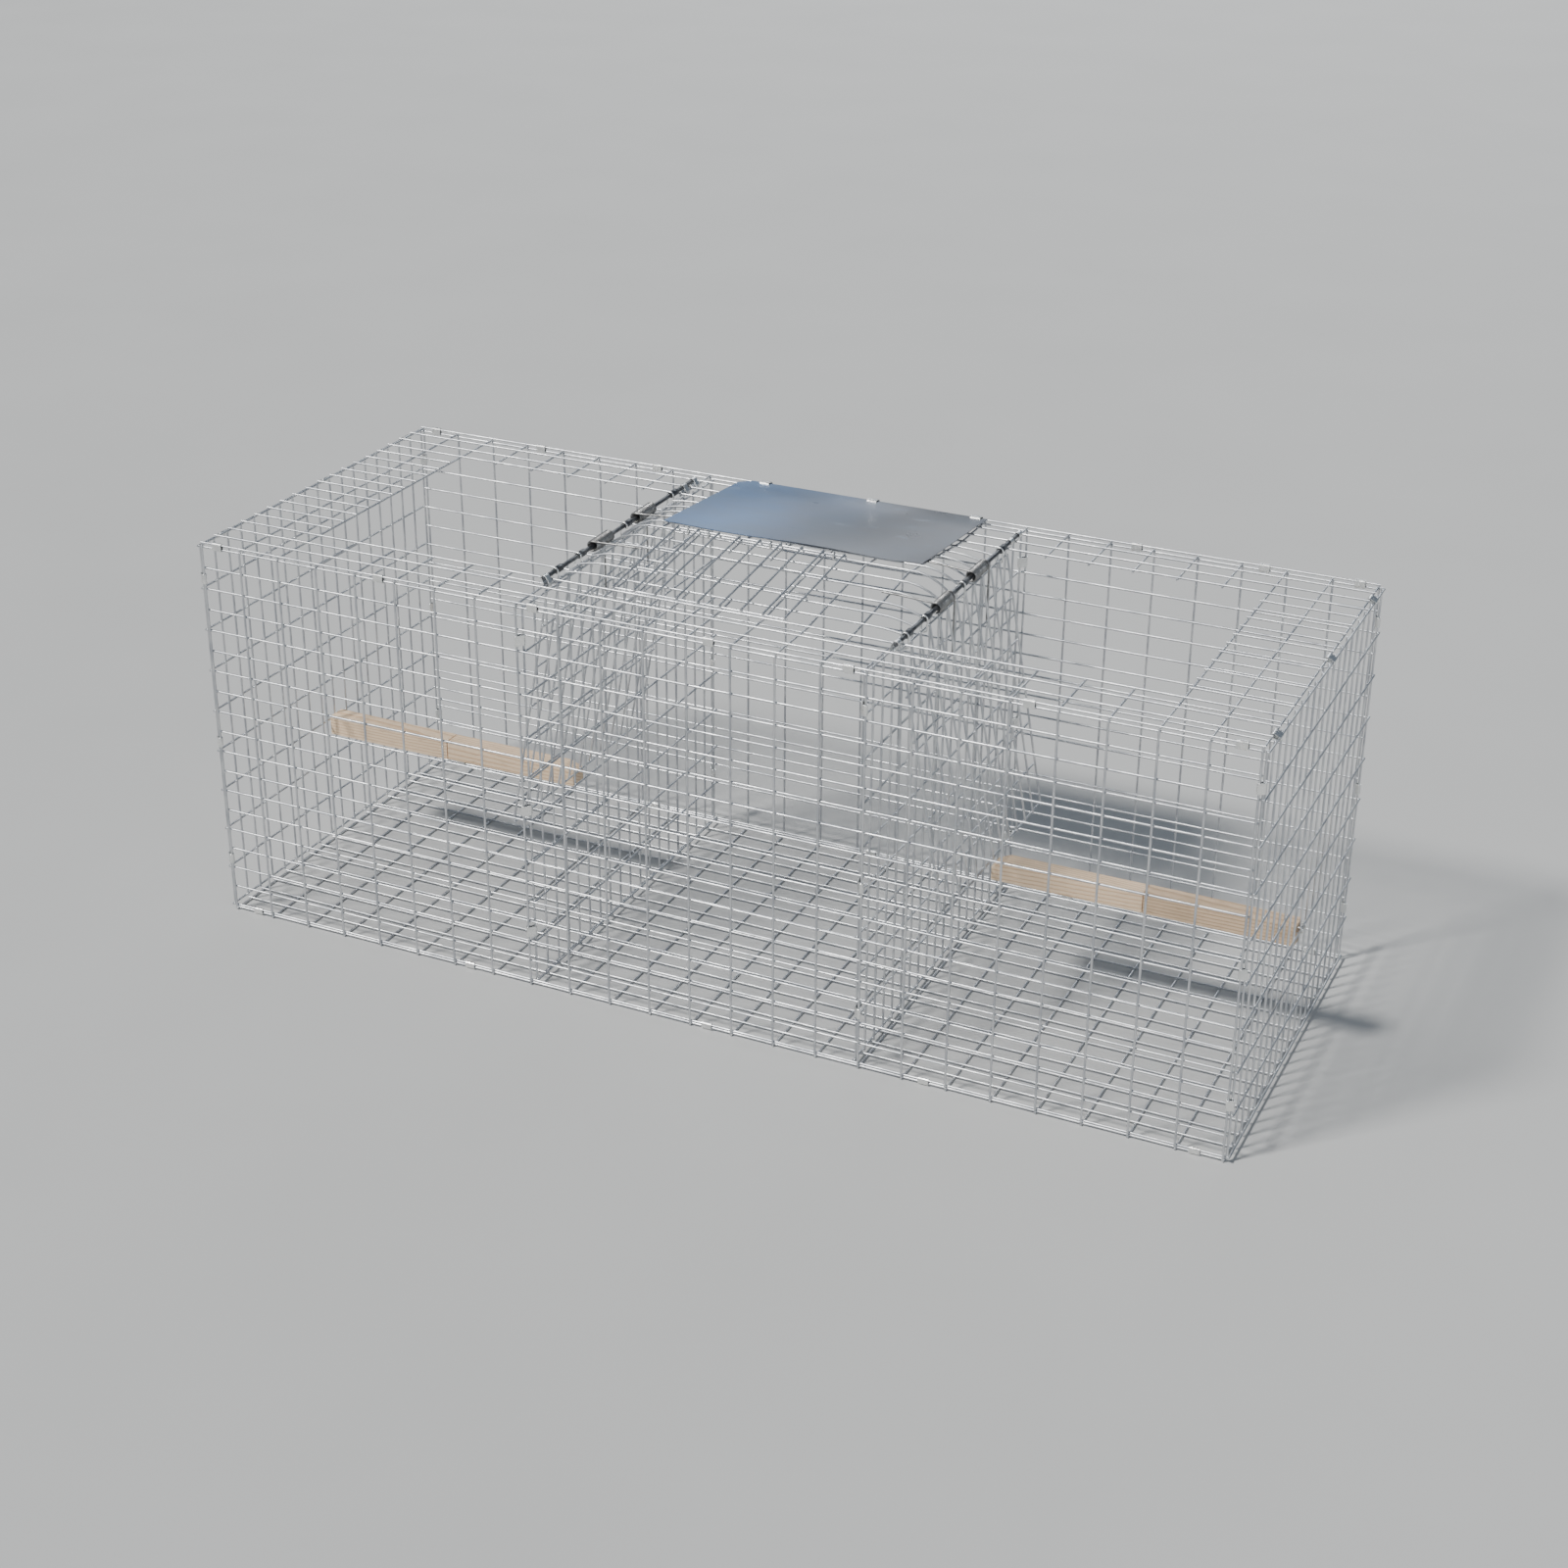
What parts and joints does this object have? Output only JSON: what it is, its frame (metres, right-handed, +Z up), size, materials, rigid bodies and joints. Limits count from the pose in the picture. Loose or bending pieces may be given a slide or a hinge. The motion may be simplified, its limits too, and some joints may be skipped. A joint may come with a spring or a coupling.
{
  "type": "live catch trap",
  "caption": "Welded mesh live catch cage with two top-entry end compartments, sprung swing doors over split perches, and a centre compartment with a loading hatch and shade plate.",
  "frame": {"origin": "on the ground under the middle of the cage", "axes": "+Z up, +X along the long side to the right, +Y from the front wall to the back wall"},
  "size_m": [1.238, 0.4662, 0.4933],
  "materials": {
    "mesh_wire": "galvanised, satin",
    "dark_rod_steel": "dull, weathered",
    "bright_zinc": "bright zinc plate",
    "spring_steel": "dull grey spring wire",
    "coated_sheet": "blue-grey sheet, satin and mottled",
    "pine": "planed softwood, dull"
  },
  "bodies": {
    "cage": {"floor_panel": "mesh_wire", "front_panel": "mesh_wire", "back_panel": "mesh_wire", "left_end_panel": "mesh_wire", "right_end_panel": "mesh_wire", "left_partition": "mesh_wire", "right_partition": "mesh_wire", "roof_front_strip": "mesh_wire", "roof_back_strip": "mesh_wire", "roof_left_strip": "mesh_wire", "roof_right_strip": "mesh_wire", "roof_centre_left": "mesh_wire", "roof_centre_right": "mesh_wire", "roof_centre_front": "mesh_wire", "roof_centre_rear": "mesh_wire", "shade_plate": "coated_sheet", "shade_plate_clips": "bright_zinc", "hatch_hinge_rings": "bright_zinc", "left_hinge_rod": "dark_rod_steel", "right_hinge_rod": "dark_rod_steel", "left_rod_clips": "bright_zinc", "right_rod_clips": "bright_zinc", "left_hinge_rings": "bright_zinc", "right_hinge_rings": "bright_zinc", "left_rod_sleeves": "dark_rod_steel", "right_rod_sleeves": "dark_rod_steel", "left_front_spring": "spring_steel", "left_rear_spring": "spring_steel", "right_front_spring": "spring_steel", "right_rear_spring": "spring_steel", "left_perch_fixed_half": "pine", "right_perch_fixed_half": "pine", "left_perch_fixed_leaf": "bright_zinc", "right_perch_fixed_leaf": "bright_zinc", "left_perch_staples": "bright_zinc", "right_perch_staples": "bright_zinc", "front_top_clips": "bright_zinc", "back_top_clips": "bright_zinc", "front_floor_clips": "bright_zinc", "back_floor_clips": "bright_zinc", "corner_clips": "bright_zinc", "end_roof_clips": "bright_zinc", "partition_clips": "bright_zinc"},
    "left_door": {"left_door": "mesh_wire"},
    "right_door": {"right_door": "mesh_wire"},
    "left_spring_arms": {"left_front_spring_arm": "spring_steel", "left_rear_spring_arm": "spring_steel"},
    "right_spring_arms": {"right_front_spring_arm": "spring_steel", "right_rear_spring_arm": "spring_steel"},
    "left_treadle": {"left_perch_treadle": "pine", "left_perch_moving_leaf": "bright_zinc"},
    "right_treadle": {"right_perch_treadle": "pine", "right_perch_moving_leaf": "bright_zinc"},
    "hatch": {"hatch_panel": "mesh_wire"}
  },
  "joints": [
    {"name": "left_door_swing", "type": "hinge", "parent": "cage", "child": "left_door", "pos_m": [-0.2066, 0, 0.46092], "axis": [0, 1, 0], "range_deg": [0, 79.5]},
    {"name": "left_spring_arm_turn", "type": "hinge", "parent": "cage", "child": "left_spring_arms", "pos_m": [-0.2066, 0, 0.47265], "axis": [0, 1, 0], "range_deg": [0, 67]},
    {"name": "left_treadle_drop", "type": "hinge", "parent": "cage", "child": "left_treadle", "pos_m": [-0.4425, 0, 0.13863], "axis": [0, 1, 0], "range_deg": [0, 40]},
    {"name": "right_door_swing", "type": "hinge", "parent": "cage", "child": "right_door", "pos_m": [0.2066, 0, 0.46092], "axis": [0, -1, 0], "range_deg": [0, 79.5]},
    {"name": "right_spring_arm_turn", "type": "hinge", "parent": "cage", "child": "right_spring_arms", "pos_m": [0.2066, 0, 0.47265], "axis": [0, -1, 0], "range_deg": [0, 67]},
    {"name": "right_treadle_drop", "type": "hinge", "parent": "cage", "child": "right_treadle", "pos_m": [0.4425, 0, 0.13863], "axis": [0, -1, 0], "range_deg": [0, 40]},
    {"name": "hatch_lift", "type": "hinge", "parent": "cage", "child": "hatch", "pos_m": [0, -0.00036, 0.48973], "axis": [-1, 0, 0], "range_deg": [0, 115]}
  ],
  "couplings": [
    {"joint": "left_spring_arm_turn", "follows": "left_door_swing", "ratio": 0.84},
    {"joint": "left_treadle_drop", "follows": "left_door_swing", "ratio": 0.5},
    {"joint": "right_spring_arm_turn", "follows": "right_door_swing", "ratio": 0.84},
    {"joint": "right_treadle_drop", "follows": "right_door_swing", "ratio": 0.5}
  ]
}
